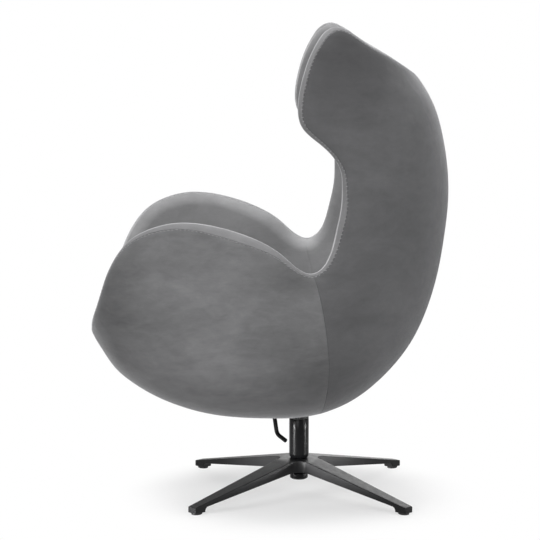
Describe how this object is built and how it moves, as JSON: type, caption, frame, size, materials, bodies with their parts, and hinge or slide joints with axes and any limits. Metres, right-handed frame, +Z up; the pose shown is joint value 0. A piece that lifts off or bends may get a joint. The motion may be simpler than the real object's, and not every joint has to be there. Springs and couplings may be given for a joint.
{
  "type": "swivel lounge chair",
  "caption": "Wing-backed egg-shaped lounge chair in padded velvet, with curved arms, a loose seat cushion, a gas lift with a lever, and a flat star base on glides.",
  "frame": {"origin": "on the floor under the centre of the whole chair's bounding box", "axes": "+Z up; the chair faces -Y; +X is the sitter's left, the side of the lift lever. The lift column's axis is vertical at X 0, Y +68.2 mm"},
  "size_m": [0.7226, 0.8288, 1.1053],
  "materials": {
    "velvet": "short-pile grey velvet, matt with a soft sheen",
    "padded_velvet": "grey velvet over foam",
    "moulded_shell": "raw moulded fibreglass",
    "plywood": "bare plywood",
    "zinc_plated_steel": "zinc plated",
    "gloss_black_metal": "gloss black",
    "satin_black_metal": "satin black powder coat",
    "chromed_rod": "ground and chromed",
    "aluminium_piston": "turned",
    "black_plastic": "moulded black"
  },
  "bodies": {
    "base": {"base_hub": "satin_black_metal", "bottom_boss": "satin_black_metal", "leg_1": "satin_black_metal", "leg_2": "satin_black_metal", "leg_3": "satin_black_metal", "leg_4": "satin_black_metal", "glide_1": "black_plastic", "glide_2": "black_plastic", "glide_3": "black_plastic", "glide_4": "black_plastic", "column_tube": "gloss_black_metal", "guide_bush": "black_plastic", "column_collar": "black_plastic"},
    "rotor": {"piston_rod": "chromed_rod", "piston": "aluminium_piston", "rod_clip": "zinc_plated_steel", "thrust_bearing": "zinc_plated_steel"},
    "seat": {"outer_cover_front": "velvet", "outer_cover_back": "velvet", "rim_band": "velvet", "shell_core": "moulded_shell", "inner_liner": "padded_velvet", "seat_deck": "plywood", "seat_cushion": "padded_velvet", "mechanism_plate": "zinc_plated_steel", "spring_socket": "zinc_plated_steel", "plate_bolt_1": "zinc_plated_steel", "plate_bolt_2": "zinc_plated_steel", "plate_bolt_3": "zinc_plated_steel", "plate_bolt_4": "zinc_plated_steel", "gas_cylinder": "gloss_black_metal", "lever_bearing_1": "black_plastic", "lever_bearing_2": "black_plastic"},
    "lever": {"lever_rod": "gloss_black_metal"},
    "valve": {"valve_pin": "zinc_plated_steel"}
  },
  "joints": [
    {"name": "seat_swivel", "type": "hinge", "parent": "base", "child": "rotor", "pos_m": [0, 0.06818, 0.044], "axis": [0, 0, 1], "continuous": true},
    {"name": "seat_height", "type": "slide", "parent": "rotor", "child": "seat", "axis": [0, 0, 1], "range_m": [0, 0.08]},
    {"name": "lever_pivot", "type": "hinge", "parent": "seat", "child": "lever", "pos_m": [0.025, 0.06818, 0.2753], "axis": [0, -1, 0], "range_deg": [0, 8], "stiffness_Nm_per_rad": 4, "springref_deg": -5.73},
    {"name": "valve_press", "type": "slide", "parent": "seat", "child": "valve", "axis": [0, 0, -1], "range_m": [0, 0.0035]}
  ],
  "couplings": [
    {"joint": "valve_press", "follows": "lever_pivot", "m_per_rad": 0.025}
  ]
}
